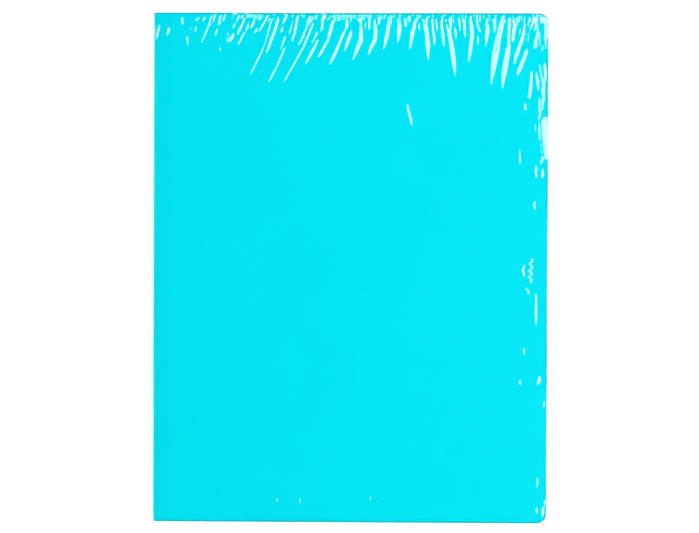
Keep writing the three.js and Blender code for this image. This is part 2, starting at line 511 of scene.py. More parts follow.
def pocket_tree():
    """The Geometry Nodes that fold, weld and rib one pocket from its sizes."""
    tree, size = film_tree("clear_pocket", POCKET_SIZES)
    grid_size = {"Size X": 2.0, "Size Y": 2.0, "Vertices X": 65, "Vertices Y": 41}
    grid = node(tree, "GeometryNodeMeshGrid", grid_size)
    place = node(tree, "GeometryNodeInputPosition").outputs[0]
    axes = node(tree, "ShaderNodeSeparateXYZ", {0: place}).outputs
    round_fold = times(tree, sum_of(tree, "ABSOLUTE", axes["X"]), math.pi)
    from_fold = less(tree, 0.5, times(tree, sum_of(tree, "COSINE", round_fold), 0.5))
    fold_x = less(tree, size["End"], size["Wall"])
    leaf = less(tree, fold_x, size["Start"])
    back_from_fold = times(tree, from_fold, leaf)
    x = less(tree, fold_x, back_from_fold)
    up = sum_of(tree, "MULTIPLY_ADD", axes["Y"], 0.5)
    up.node.inputs[2].default_value = 0.5
    height = times(tree, size["Half Height"], 2.0)
    from_foot = times(tree, sum_of(tree, "POWER", up, ROWS_TO_FOOT), height)
    y = less(tree, from_foot, size["Half Height"])

    from_weld = less(tree, leaf, back_from_fold)
    past_spine_weld = past(tree, from_weld, size["Spine Weld"], SPINE_WELD_SLOPE)
    past_foot_weld = past(tree, from_foot, size["Foot Weld"], FOOT_WELD_SLOPE)
    past_fold = past(tree, back_from_fold, 0.0, FOLD_ROUNDING)
    apart = times(tree, past_spine_weld, past_foot_weld)
    lifted = sum_of(tree, "ADD", times(tree, apart, times(tree, size["Slot"], 0.5)), WELD_SEAM)
    across = sum_of(tree, "SINE", times(tree, x, WAVES_ACROSS))
    endwise = sum_of(tree, "COSINE", times(tree, y, WAVES_ENDWISE))
    waves = times(tree, across, endwise, size["Wave"], past_spine_weld)
    middle = sum_of(tree, "ADD", size["Middle Z"], waves)
    side = sum_of(tree, "SIGN", axes["X"])
    z = less(tree, middle, times(tree, side, times(tree, lifted, past_fold)))
    moved = {"Geometry": grid.outputs["Mesh"], "Position": vector(tree, x, y, z)}
    folded = node(tree, "GeometryNodeSetPosition", moved).outputs[0]
    outward = {"Mesh": folded, "Offset Scale": size["Wall"], "Individual": False}
    outer = node(tree, "GeometryNodeExtrudeMesh", outward, mode="FACES")
    inner = node(tree, "GeometryNodeFlipFaces", {"Mesh": folded})
    walls = join(tree, outer.outputs["Mesh"], inner.outputs[0])
    closed = node(tree, "GeometryNodeMergeByDistance", {"Geometry": walls, "Distance": 0.0008 * MM})

    pitch = size["Bar Pitch"]
    weld_x = sum_of(tree, "ADD", size["Start"], times(tree, size["Spine Weld"], 0.5))
    first_y = less(tree, 4 * MM, size["Half Height"])
    start = vector(tree, weld_x, first_y, size["Middle Z"])
    step = vector(tree, y=pitch)
    row_length = less(tree, height, 6 * MM)
    spine_bars = row_of_bars(tree, start, step, row_length, pitch, SPINE_BAR, SPINE_BAR_TURN)
    foot_x = sum_of(tree, "ADD", size["Start"], sum_of(tree, "ADD", size["Spine Weld"], 1 * MM))
    foot_y = less(tree, times(tree, size["Foot Weld"], 0.5), size["Half Height"])
    start = vector(tree, foot_x, foot_y, size["Middle Z"])
    step = vector(tree, x=pitch)
    row_length = less(tree, size["End"], foot_x, 1.5 * MM)
    foot_bars = row_of_bars(tree, start, step, row_length, pitch, FOOT_BAR, FOOT_BAR_TURN)
    set_result(tree, join(tree, closed.outputs[0], spine_bars, foot_bars), size["Film"])
    return tree


def mesh_from_nodes(name, tree, values, base=None):
    """A plain mesh object that a tree makes from those values."""
    maker = add_object(name + "_maker", base or bpy.data.meshes.new(name + "_maker"))
    modifier = maker.modifiers.new("nodes", "NODES")
    modifier.node_group = tree
    for item in tree.interface.items_tree:
        if item.in_out == "INPUT" and item.name in values:
            modifier[item.identifier] = values[item.name]
    bpy.context.view_layer.update()
    evaluated = maker.evaluated_get(bpy.context.evaluated_depsgraph_get())
    mesh = bpy.data.meshes.new_from_object(evaluated)
    mesh.name = name
    bpy.data.objects.remove(maker)
    return add_object(name, mesh)


pocket_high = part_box("pocket_01")[1]
pocket_film = clear_plastic(
    "embossed_clear_film",
    tint=(0.992, 0.996, 0.997, 1),
    milk=(0.84, 0.92, 0.93, 1),
    haze=0.042,
    low_share=0.4,
    gloss=0.16,
    mirror=0.25,
    grain_depth=0.25,
    frosted=(pocket_high.x, pocket_high.y),
)
pocket_nodes = pocket_tree()
for number in range(1, POCKET_COUNT + 1):
    solid = f"pocket_{number:02d}"
    low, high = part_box(solid)
    own = {"Start": low.x, "End": high.x, "Half Height": high.y, "Middle Z": (low.z + high.z) / 2}
    values = {**POCKET_SIZES, **own, "Film": pocket_film}
    pocket = mesh_from_nodes(f"clear_pocket_{number:02d}", pocket_nodes, values)
    pocket.data.shade_smooth()
    pocket.data.set_sharp_from_angle(angle=math.radians(35))
    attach(pocket, solid)
    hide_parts(solid)


# Binding core: the welded margins of all the pockets, pressed together in steps and fixed along
# the inside of the spine. Its face shows the layers of film, one to each pocket.
LAYER_PITCH = 0.5 * MM


def layered_core_material():
    """Milky pressed film, in layers as thick as a pocket."""
    material, tree, output = new_material("pressed_film_layers")
    grain = grain_of(tree, 0.0006, 0.006)
    stripe = sum_of(tree, "SINE", times(tree, object_axes(tree)["Z"], 2 * math.pi / LAYER_PITCH))
    tone = sum_of(tree, "ADD", times(tree, stripe, 0.35), grain["Mottle"])
    paleness = ramp(tree, tone, 0.1, 0.9)
    surface = {
        "Base Color": mix_colours(tree, paleness, (0.50, 0.66, 0.70, 1), (0.74, 0.84, 0.86, 1)),
        "Roughness": ramp(tree, grain["Mottle"], 0.3, 0.7, 0.32, 0.5),
        "Normal": bump(tree, stripe, 0.3, 0.00008),
    }
    shader = node(tree, "ShaderNodeBsdfPrincipled", surface)
    tree.links.new(shader.outputs[0], output.inputs["Surface"])
    return material


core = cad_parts["binding_core"]
core.data.materials.clear()
core.data.materials.append(layered_core_material())


# Shrink film: a bag of clear film, shrunk with heat round the closed book. It is tight over the
# cover and gathered in folds along the head and down the fore edge, where it had most to give.
# It is slit along the three open edges.
COVER_HEIGHT = 310  # mm
BACK_FOLDS = 90
FILM_HALF = 0.015 * MM
FILM_SEAT = 0.06 * MM  # from the cover to the middle of the film
FILM_ROLL = 0.35 * MM  # radius of the film where it turns down over the cover's edge
HIGHEST_FOLD = 0.70 * MM
DEEPEST_SLACK = -0.02 * MM
RIM_FADE = 0.5 * MM  # over which the folds die away towards the film's rim
SPINE_FADE_START = 0.5 * MM
SPINE_FADE = 0.8 * MM  # the same towards the spine
SKIRT_LEAN = ((0.03 * MM, 0.5), (0.14 * MM, 1.0))  # out from the roll, at shares of the skirt
# Measures of a fold, in mm
LEAD = 0.9  # how far above its first point it starts
FLANK_ROUNDING = 0.26  # where its flank meets its crest and its foot
HEAD_TIP = 2.4  # over which it rises at its upper end
TIP = 0.9  # the same at its lower end
BACK_WIDENING, BACK_REACH = 1.15, 0.5  # its back is its flank times the one, plus the other
BLUNT_BACK = 0.9  # from the crest of a blunt fold to the foot of its back
BLUNT_FOOT = 0.04  # a blunt fold higher than this hides what lies under it
LEDGE_WIDTH, LEDGE_LENGTH = 1.75, 12  # a fold wider and longer than this has a ledge
RIPPLE_END = 0.95  # a fold of this height would have no ripples on it
# Shares of a fold
UPPER_TAPER, UPPER_LIMIT = 2.0, 0.3  # of its width and its length: it narrows upwards over the less
LOWER_TAPER, LOWER_LIMIT = 4.5, 0.45  # the same downwards
SOFT = 0.3  # of its back, rounded off at both ends
LEDGE_START, LEDGE_END = 0.44, 0.56  # of its flank
# How far a flank turns the camera's view, towards the main soft box, in degrees
TURN_AT_WIDTH = ((0.6, 1.0, 1.5, 2.5), (41, 37, 33, 27))
TURN_SPREAD = 3.0
BLUNT_TURN = 30
SPARKLE_SLOPE = math.radians(19)

# Each fold runs down from the head: at each of its points, the distances from the spine edge and
# from the head edge, and the width of its flank, all in mm. First those of the head, from the
# spine to the fore edge
SHARP_FOLDS = (
    ((3.8, 7.0, 0.7), (0.9, 18.6, 0.9)),
    ((9.4, 8.6, 0.9), (8.0, 14.9, 1.0)),
    ((17.0, 2.6, 0.7), (17.9, 8.8, 0.7)),
    ((20.2, 14.2, 0.7), (20.6, 20.6, 0.8)),
    ((27.4, 3.2, 0.7), (24.6, 6.2, 0.8)),
    ((31.4, 2.8, 0.7), (29.2, 6.4, 0.9)),
    ((25.3, 8.0, 0.7), (26.4, 12.2, 0.8)),
    ((23.2, 9.2, 0.6), (21.6, 11.8, 0.6)),
    ((25.4, 11.8, 0.5), (24.3, 13.6, 0.5)),
    ((36.7, 1.4, 3.0), (33.1, 8.8, 1.0), (28.4, 20.0, 0.35)),
    ((35.1, 4.3, 0.7), (29.7, 14.6, 0.5)),
    ((36.8, 3.2, 0.6), (36.2, 7.2, 0.6)),
    ((41.1, 2.2, 1.0), (39.2, 9.4, 1.3)),
    ((38.7, 10.4, 0.6), (37.0, 14.9, 0.6)),
    ((42.8, 3.2, 0.9), (42.2, 5.9, 0.9)),
    ((50.9, 1.0, 1.5), (48.2, 6.9, 1.2)),
    ((49.8, 6.8, 0.8), (47.6, 10.3, 0.9)),
    ((51.5, 8.0, 0.5), (49.4, 12.6, 0.6)),
    ((49.2, 12.6, 0.9), (46.6, 16.2, 0.7), (43.4, 20.2, 0.4)),
    ((40.4, 21.2, 0.6), (40.3, 24.0, 0.6)),
    ((45.3, 13.0, 0.5), (44.2, 14.4, 0.5)),
    ((57.5, 1.0, 0.8), (55.8, 4.3, 0.8)),
    ((55.3, 3.9, 0.7), (50.4, 14.6, 0.7)),
    ((58.6, 5.3, 0.8), (55.8, 12.1, 1.3)),
    ((61.3, 5.2, 0.9), (58.3, 10.2, 0.9)),
    ((55.3, 11.8, 0.5), (50.7, 20.8, 0.5)),
    ((68.9, 1.8, 0.7), (64.0, 12.1, 0.6)),
    ((66.7, 4.7, 0.5), (60.2, 13.8, 0.5)),
    ((75.7, 2.8, 1.4), (73.6, 11.0, 1.0), (68.0, 25.7, 1.0)),
    ((71.1, 5.7, 0.3), (67.8, 19.2, 0.4), (58.4, 38.4, 0.4)),
    ((80.9, 1.3, 1.3), (77.7, 7.6, 0.9)),
    ((78.1, 8.9, 0.8), (77.3, 13.0, 0.8)),
    ((80.3, 13.8, 0.5), (76.6, 23.4, 0.5)),
    ((79.9, 20.8, 0.4), (75.4, 31.5, 0.4), (69.4, 43.6, 0.35)),
    ((87.2, 1.7, 0.9), (86.4, 9.0, 0.8), (83.8, 19.0, 0.5)),
    ((85.6, 2.9, 0.5), (82.0, 14.0, 0.5)),
    ((96.0, 1.2, 4.2), (93.5, 9.2, 1.5), (87.0, 21.7, 0.4)),
    ((97.1, 6.0, 0.6), (91.0, 21.0, 0.45), (78.6, 43.2, 0.4)),
    ((104.6, 0.7, 1.8), (100.7, 8.4, 1.2)),
    ((102.7, 6.2, 0.8), (101.6, 12.5, 0.8)),
    ((99.4, 11.5, 0.5), (95.4, 21.6, 0.5)),
    ((100.3, 15.8, 0.7), (96.4, 23.5, 1.0), (91.7, 32.4, 1.9)),
    ((109.6, 2.6, 1.0), (106.6, 13.7, 1.5), (103.2, 18.3, 0.7)),
    ((107.0, 14.0, 0.8), (103.4, 21.5, 0.9), (99.0, 28.8, 1.4)),
    # Past the middle of the head
    ((118.3, 3.7, 1.2), (116.3, 11.0, 1.2)),
    ((116.1, 10.8, 0.8), (111.2, 22.5, 1.0), (106.3, 33.2, 2.0)),
    ((120.4, 10.8, 1.0), (115.6, 24.3, 1.7)),
    ((124.8, 2.5, 2.2), (126.5, 7.8, 1.5)),
    ((126.2, 6.4, 1.4), (125.9, 16.6, 1.7), (123.2, 23.5, 2.0), (120.0, 30.4, 2.1)),
    ((124.3, 10.3, 0.9), (122.6, 19.2, 0.9)),
    ((129.1, 5.3, 0.8), (128.6, 10.8, 0.8)),
    ((131.3, 2.5, 0.8), (130.8, 11.6, 0.8)),
    ((134.6, 1.4, 1.2), (134.7, 15.4, 1.5), (129.2, 27.6, 1.8)),
    ((137.3, 1.9, 0.9), (136.5, 8.2, 0.9)),
    ((143.8, 1.3, 1.2), (142.0, 12.0, 1.6), (139.6, 23.2, 2.1)),
    ((149.3, 1.7, 1.5), (149.1, 13.0, 2.0), (147.8, 19.2, 1.0)),
    ((152.6, 2.2, 1.2), (153.2, 9.2, 1.2)),
    ((154.8, 2.2, 0.9), (155.4, 6.5, 0.9)),
    ((160.2, 2.2, 1.2), (157.2, 11.8, 1.6), (155.4, 23.0, 2.0)),
    ((161.2, 5.7, 0.8), (161.8, 11.6, 0.8)),
    ((163.9, 1.7, 1.4), (166.0, 12.5, 1.9), (166.6, 20.0, 2.2), (166.8, 29.8, 1.6)),
    ((166.4, 1.8, 0.9), (165.8, 7.6, 0.9)),
    ((169.4, 2.2, 1.5), (170.7, 20.1, 0.8)),
    ((171.4, 2.2, 0.9), (173.1, 13.8, 0.9)),
    ((174.6, 1.7, 1.2), (176.5, 21.0, 1.5)),
    ((177.7, 2.2, 1.2), (179.9, 13.7, 1.5), (182.0, 27.0, 2.2), (183.4, 38.9, 1.8)),
    ((180.1, 1.7, 1.2), (180.4, 10.3, 1.2)),
    ((183.2, 8.9, 0.6), (183.5, 15.8, 0.6)),
    ((186.0, 1.7, 1.2), (186.3, 12.0, 1.2)),
    ((188.2, 2.2, 1.0), (189.3, 15.4, 1.0)),
    ((192.3, 1.1, 1.2), (193.4, 12.5, 1.7), (191.4, 29.8, 1.3)),
    ((194.8, 2.2, 0.6), (198.8, 12.5, 0.6)),
    ((196.8, 14.8, 0.7), (196.8, 19.1, 0.7)),
    ((203.1, 2.0, 1.8), (202.6, 11.0, 1.7), (201.5, 21.0, 2.2)),
    ((206.7, 1.6, 2.4), (207.0, 11.9, 1.4)),
    ((212.5, 1.0, 1.8), (209.2, 15.5, 2.6), (207.7, 24.0, 3.7), (204.9, 43.2, 1.8)),
    ((220.4, 2.2, 0.9), (219.8, 8.4, 0.9)),
    ((215.8, 19.0, 1.9), (213.6, 31.0, 2.4), (211.6, 46.2, 2.9)),
    ((226.3, 1.9, 0.8), (220.8, 16.6, 0.7)),
    ((226.1, 4.7, 0.9), (224.1, 13.4, 0.9), (218.4, 31.7, 1.6)),
    ((226.8, 22.2, 1.0), (220.1, 39.0, 1.7)),
    ((228.6, 1.5, 1.9), (227.5, 10.7, 0.9)),
    ((233.0, 5.1, 0.7), (230.2, 12.7, 0.7)),
    ((233.5, 10.1, 1.2), (230.8, 22.4, 1.1)),
    ((231.4, 1.6, 1.6), (230.6, 5.6, 1.2)),
    ((153.7, 55.0, 0.8), (157.5, 69.0, 0.8)),
    # Round corner
    ((237.9, 6.0, 1.8), (238.3, 13.0, 1.3), (237.6, 19.6, 0.9)),
    ((231.0, 4.2, 1.6), (228.4, 11.0, 1.2)),
    # Fore edge
    ((229.9, 35.3, 1.0), (228.0, 52.4, 1.0)),
    ((232.5, 35.7, 1.2), (234.5, 48.7, 1.6)),
    ((234.4, 31.2, 0.8), (237.7, 47.4, 0.8)),
    ((235.6, 43.8, 0.8), (237.5, 52.4, 0.8)),
    ((237.4, 30.6, 1.2), (238.0, 41.2, 1.2)),
    ((234.4, 51.2, 0.6), (234.7, 62.3, 0.7), (234.5, 76.9, 0.6)),
    ((232.4, 67.4, 0.3), (232.0, 72.6, 0.3)),
    ((236.0, 79.3, 0.7), (234.2, 81.4, 0.7)),
    ((236.8, 83.4, 0.7), (234.2, 86.0, 0.7)),
    ((237.8, 85.6, 0.9), (234.6, 91.6, 0.7)),
    ((222.3, 80.5, 0.05), (222.6, 87.4, 0.1), (222.9, 91.4, 0.6)),
    ((236.7, 95.2, 0.8), (236.3, 100.0, 0.9)),
    ((232.8, 171.0, 0.4), (232.9, 187.8, 0.6)),
    ((226.0, 204.8, 0.4), (225.9, 206.6, 0.4)),
    ((235.4, 221.6, 0.8), (233.5, 225.6, 0.8)),
    ((223.5, 223.8, 0.35), (223.3, 225.6, 0.35)),
    ((238.2, 237.4, 0.4), (237.5, 238.9, 0.4)),
    ((234.3, 282.6, 0.1), (234.1, 287.8, 0.1)),
    ((233.9, 301.0, 0.15), (233.9, 304.2, 0.15)),
    ((237.9, 301.2, 0.8), (237.3, 305.8, 0.8)),
    ((238.8, 297.4, 0.4), (238.7, 298.8, 0.4)),
    # Foot
    ((76.5, 295.4, 0.3), (75.2, 299.6, 0.3)),
    ((79.4, 295.0, 0.25), (79.2, 297.0, 0.25)),
    ((89.8, 295.0, 0.3), (90.4, 299.2, 0.3)),
    ((132.9, 294.8, 0.2), (132.7, 296.8, 0.2)),
    ((141.1, 295.1, 0.2), (140.9, 297.2, 0.2)),
)
# Blunt folds: a short one near the spine, three at the head, two side by side under the round
# corner, and a long one at the fore edge
BLUNT_FOLDS = (
    ((47.9, 14.4, 2.0), (46.6, 16.4, 2.3), (45.0, 18.4, 2.0)),
    ((206.9, 2.6, 2.3), (207.3, 8.0, 1.9), (207.4, 13.4, 0.5)),
    ((215.8, 2.4, 1.5), (216.0, 8.0, 1.7), (215.6, 18.8, 1.4)),
    ((218.8, 2.8, 1.6), (219.0, 7.0, 1.9), (217.9, 17.6, 1.2)),
    ((232.2, 2.4, 3.4), (230.6, 6.6, 3.2)),
    ((237.0, 1.8, 4.9), (236.8, 6.4, 5.0)),
    ((237.1, 63.4, 3.9), (237.5, 68.0, 3.2), (238.0, 80.0, 2.5), (238.6, 88.2, 1.2)),
)
# Short marks in the film near the fore edge, in small groups
SPARKLES = (
    ((237.0, 50.4, 0.6), (236.4, 54.2, 0.6)),
    ((235.8, 54.8, 0.5), (236.2, 58.6, 0.6)),
    ((225.7, 55.4, 0.4), (226.0, 59.6, 0.5)),
    ((227.1, 59.8, 0.2), (227.3, 62.6, 0.2)),
    ((232.9, 93.6, 0.5), (232.7, 95.2, 0.5)),
    ((232.0, 95.8, 0.5), (232.3, 97.4, 0.5)),
    ((232.8, 98.2, 0.4), (232.6, 99.8, 0.4)),
    ((231.8, 114.8, 0.6), (231.5, 116.3, 0.6)),
    ((230.6, 116.4, 0.5), (230.9, 117.8, 0.5)),
    ((231.9, 117.4, 0.6), (231.6, 119.0, 0.5)),
    ((230.2, 149.8, 0.5), (229.9, 151.4, 0.5)),
    ((228.9, 151.8, 0.6), (229.2, 153.4, 0.6)),
    ((230.3, 153.6, 0.6), (230.0, 155.2, 0.6)),
    ((228.8, 155.8, 0.6), (229.1, 157.4, 0.6)),
    ((230.0, 157.8, 0.6), (229.7, 159.4, 0.6)),
    ((228.6, 160.0, 0.6), (228.9, 161.6, 0.6)),
    ((229.8, 161.8, 0.6), (229.5, 163.4, 0.5)),
    ((225.6, 153.6, 0.4), (225.2, 155.2, 0.4)),
    ((224.6, 156.0, 0.4), (224.9, 157.6, 0.4)),
    ((225.5, 158.0, 0.4), (225.1, 159.6, 0.4)),
    ((227.0, 167.4, 0.5), (226.7, 169.0, 0.5)),
    ((228.2, 169.2, 0.5), (227.9, 170.6, 0.5)),
)


def view_tilt(x):
    """How far the line from the camera leans towards the fore edge at a place, in degrees."""
    return math.degrees(math.atan((x * MM + SPINE_X - CAMERA_PLACE[0]) / CAMERA_PLACE[2]))


def shoulder(u, share):
    """From 0 to 1 with an even slope, rounded off over that share at both ends."""
    low = u**2 / (2 * share * (1 - share))
    high = 1 - (1 - u) ** 2 / (2 * share * (1 - share))
    return np.where(u < share, low, np.where(u > 1 - share, high, (u - share / 2) / (1 - share)))


def raise_fold(height, x, y, path, slope, blunt=False):
    """Raises one fold with that slope in a field of heights. x and y are in mm from the spine
    and the head. A blunt fold keeps its width up to its ends."""
    path = np.array(path)
    first_run = path[1, :2] - path[0, :2]
    path[0, :2] -= LEAD * first_run / np.hypot(*first_run)
    widest = path[:, 2].max()
    reach = 4 * widest + 3
    near = (x > path[:, 0].min() - reach) & (x < path[:, 0].max() + reach)
    near &= (y > path[:, 1].min() - 2) & (y < path[:, 1].max() + 2)
    if not near.any():
        return
    px, py = x[near], y[near]
    lengths = np.hypot(np.diff(path[:, 0]), np.diff(path[:, 1]))
    total = lengths.sum()
    best = np.full(px.shape, np.inf)
    side = np.zeros_like(px)
    along = np.zeros_like(px)
    width = np.zeros_like(px)
    done = 0.0
    for (x0, y0, w0), (x1, y1, w1), length in zip(path[:-1], path[1:], lengths):
        dx, dy = (x1 - x0) / length, (y1 - y0) / length
        run = np.clip((px - x0) * dx + (py - y0) * dy, 0, length)
        off = np.hypot(px - x0 - run * dx, py - y0 - run * dy)
        closer = off < best
        best = np.where(closer, off, best)
        side = np.where(closer, (px - x0) * dy - (py - y0) * dx, side)
        along = np.where(closer, (done + run) / total, along)
        width = np.where(closer, w0 + (w1 - w0) * run / length, width)
        done += length
    from_start = along * total
    to_end = total - from_start
    wander = 2 * math.pi * from_start
    side = side + 0.10 * np.sin(wander / 7.3 + path[0, 0]) + 0.05 * np.sin(wander / 2.9 + path[0, 1])
    if not blunt:
        upper = np.clip(from_start / np.minimum(UPPER_TAPER * width, UPPER_LIMIT * total), 0, 1)
        lower = np.clip(to_end / np.minimum(LOWER_TAPER * width, LOWER_LIMIT * total), 0, 1)
        width = width * np.minimum(upper, lower)
    flank = width + 2 * FLANK_ROUNDING
    behind = BLUNT_BACK if blunt else BACK_WIDENING * flank + BACK_REACH
    crest = -flank / 2
    down_flank = np.clip((side - crest) / flank, 0, 1)
    front = 1 - shoulder(down_flank, FLANK_ROUNDING / flank)
    if widest > LEDGE_WIDTH and total > LEDGE_LENGTH and not blunt:
        ledge = 0.5 * shoulder(np.clip(down_flank / LEDGE_START, 0, 1), SOFT)
        ledge += 0.5 * shoulder(np.clip((down_flank - LEDGE_END) / LEDGE_START, 0, 1), SOFT)
        split = np.clip((0.66 - along) / 0.12, 0, 1) * np.clip(along / 0.1, 0, 1)
        front = front * (1 - split) + (1 - ledge) * split
    back = 1 - shoulder(np.clip((crest - side) / behind, 0, 1), SOFT)
    tip = np.clip(np.minimum(from_start / min(HEAD_TIP, 0.25 * total), to_end / TIP), 0, 1)
    rise = np.tan(slope) * (flank - FLANK_ROUNDING)
    rise = np.minimum(rise, HIGHEST_FOLD / MM) * np.where(side > crest, front, back)
    height[near] = np.maximum(height[near], rise * tip**2 * (3 - 2 * tip))


def clouds(x, y, width, length, random):
    """Smooth random values from 0 to 1, in cells of that width and length."""
    columns, rows = 256, 64
    values = random.random((columns, rows))
    u, v = x / width + 8, y / length + 8
    column, row = np.floor(u).astype(int), np.floor(v).astype(int)
    u, v = u - column, v - row
    u, v = u * u * (3 - 2 * u), v * v * (3 - 2 * v)
    column, row = column % columns, row % rows
    next_column, next_row = (column + 1) % columns, (row + 1) % rows
    near = values[column, row] * (1 - u) + values[next_column, row] * u
    far = values[column, next_row] * (1 - u) + values[next_column, next_row] * u
    return near * (1 - v) + far * v


def gathers(across, down, random):
    """Small ripples of the film, side by side along the head and round its corner, in mm. They
    lean as the folds near them do, reach 3 to 8 mm down, and are missing in patches."""
    leaning = across + np.interp(across, (0, 110, 150, 240), (0.45, 0.4, 0.0, 0.1)) * down
    pitch = 1.8
    phase = leaning / pitch + 1.1 * clouds(leaning, down, 4.5, 4.0, random)
    lowest = 3.2 + 4.6 * clouds(leaning, down, 5.0, 40.0, random)
    lowest = lowest * np.clip((across - 26) / 34, 0, 1) ** 0.5
    below_rim = np.clip((down - 0.7) / 0.6, 0, 1)
    band = below_rim * np.clip((lowest - down) / 1.2, 0, 1)
    corner = 0.6 * np.clip(1 - np.hypot((across - 232) / 12, (down - 10) / 18), 0, 1) ** 0.5
    sparse = np.interp(across, (0, 90, 125, 185, 215, 240), (0.32, 0.3, 0.1, 0.1, 0.25, 0.2))
    patches = np.clip((clouds(leaning, down, 2.3, 2.6, random) - sparse) / 0.2, 0, 1)
    depth = np.interp(across, (110, 190), (0.33, 0.20))
    depth = depth * (0.7 + 0.6 * clouds(leaning, down, 2.0, 3.0, random))
    share = np.maximum(band, corner * below_rim)
    ripple = 0.5 - 0.5 * np.cos(2 * math.pi * phase)
    return ripple * depth * patches * share


def on_cover(x, y):
    """The distances from the spine edge and the head edge in mm, of places in metres."""
    return (x - SPINE_X) / MM, (HALF_HEIGHT - y) / MM


def flank_slope(path, turn):
    """The slope of a flank that turns the camera's view by so many degrees."""
    return math.radians((turn - view_tilt(path[0][0])) / 2)


def fold_heights(x, y, random):
    """The height of the film's folds over the cover, in metres, at points in metres."""
    across, down = on_cover(x, y)
    height = np.zeros_like(across)
    for path in SHARP_FOLDS:
        widest = max(point[2] for point in path)
        turn = np.interp(widest, *TURN_AT_WIDTH) + TURN_SPREAD * random.random()
        raise_fold(height, across, down, path, flank_slope(path, turn))
    height += gathers(across, down, random) * (1 - height / RIPPLE_END)
    for path in SPARKLES:
        raise_fold(height, across, down, path, SPARKLE_SLOPE)
    for path in BLUNT_FOLDS:
        smooth = np.zeros_like(height)
        raise_fold(smooth, across, down, path, flank_slope(path, BLUNT_TURN), blunt=True)
        height = np.where(smooth > BLUNT_FOOT, smooth, height)
    return height * MM


def slack(x, y):
    """Long low waves in the film where nothing pulls it tight, in metres."""
    waves = np.sin(x * 61 + 1.3) * np.cos(y * 47 - 0.4) + 0.6 * np.sin(x * 103 - y * 71 + 2.0)
    return 0.012 * MM * waves


def comb(x, y):
    """How far the columns of the film's mesh lean so that they run along its folds."""
    across, down = on_cover(x, y)
    places = (2, 40, 110, 130, 145, 158, 172, 182, 192, 205, 218, 232)
    leans = (0, -0.42, -0.43, -0.3, -0.2, -0.1, 0.06, 0.1, 0.03, -0.08, -0.15, 0)
    return np.interp(across, places, leans) * np.interp(down, (0, 46, 230), (0, 46, 0)) * MM


def zones_of_sheet(zones, column_step, inset):
    """Points, faces and rim of the film before it is wrinkled. The zones follow each other from
    the head to the foot. Each has runs of rows (start and end below the rim, and step, in mm),
    and keeps one column in so many, besides those in its fine strips. The two zones share the
    points of the row where they meet, through faces with more corners."""
    radius = CORNER_RADIUS - inset
    columns = steps(SPINE_X + CREASE_RADIUS, FORE_X - inset, column_step)
    run = panel_section(FILM_SEAT, inset, columns)
    first = next(k for k, place in enumerate(run) if place[0] > SPINE_X + CREASE_RADIUS - 1e-7)
    across = [(place[0] - SPINE_X) / MM for place in run]
    points, faces, rim_parts = [], {4: []}, []
    count = 0
    above = None
    for runs, one_in, fine_strips in zones:
        rows = []
        for start, end, step in runs:
            top = HALF_HEIGHT - inset
            part = steps(top - start * MM, top - end * MM, step * MM)
            rows += part[1:] if rows or above else part
        kept = set(range(first + 1)) | set(range(first, len(run), one_in)) | {len(run) - 1}
        for start, end in fine_strips:
            kept |= {k for k in range(len(run)) if start < across[k] < end}
        kept = sorted(kept)
        zone_points, quads, index = sheet_grid([run[k] for k in kept], rows[::-1], radius)
        index = index + count
        faces[4] += (quads + count).tolist()
        if above:
            upper = dict(zip(above[0], above[1][:, 0]))
            lower = dict(zip(kept, index[:, -1]))
            shared = sorted(set(upper) & set(lower))
            for a, b in zip(shared[:-1], shared[1:]):
                face = [lower[k] for k in kept if a <= k <= b]
                face += [upper[k] for k in above[0][::-1] if a <= k <= b]
                faces.setdefault(len(face), []).append(face)
        else:
            rim_parts.append(index[kept.index(first) : -1, -1])
        rim_parts.append(index[-1, ::-1])
        points.append(zone_points)
        count += len(zone_points)
        above = (kept, index)
    rim_parts.append(above[1][above[0].index(first) : -1, 0][::-1])
    faces = [np.array(same) for same in faces.values()]
    return np.concatenate(points), faces, np.concatenate(rim_parts)


def film_half(column_step, zones, folds):
    """Points and faces of the front half of the film: the sheet and the skirts that hang from
    it. folds gives the height of the folds at x and y."""
    inset = FILM_ROLL - FILM_SEAT
    points, faces, rim = zones_of_sheet(zones, column_step, inset)
    points[:, 0] += comb(points[:, 0], points[:, 1])

    x, y = points[:, 0], points[:, 1]
    fade = np.clip((from_outline(x, y) - inset) / RIM_FADE, 0, 1)
    fade = fade * np.clip((x - SPINE_X - SPINE_FADE_START) / SPINE_FADE, 0, 1)
    lift = np.clip((folds(x, y) + slack(x, y)) * fade, DEEPEST_SLACK, HIGHEST_FOLD)
    points[:, 2] += lift

    turns = [math.radians(angle) for angle in (22, 45, 68, 90)]
    rings = [(FILM_ROLL * math.sin(turn), FILM_ROLL * (math.cos(turn) - 1)) for turn in turns]
    slit_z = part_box("film_front_edge")[0].z
    depth = FRONT_Z + FILM_SEAT - slit_z
    rings += [(FILM_ROLL + lean, -share * depth) for lean, share in SKIRT_LEAN]
    points, skirts = add_rings(points, rim, rim_outward(points[rim]), rings)
    return points, faces + [skirts]


shrink_film = clear_plastic(
    "shrink_film",
    tint=(0.985, 0.99, 0.99, 1),
    milk=(1, 1, 1, 1),
    haze=0.05,
    low_share=0.26,
    gloss=0.025,
    mirror=1.0,
    grain_depth=0.05,
)
FOOT = COVER_HEIGHT - 2 * (FILM_ROLL - FILM_SEAT) / MM  # where the last row lies
FRONT_STEP = 0.38 * MM  # between the columns of its mesh
BACK_STEP = 1.3 * MM
FORE_STRIP = (221, 241)  # along the fore edge, where the folds and sparkles are small
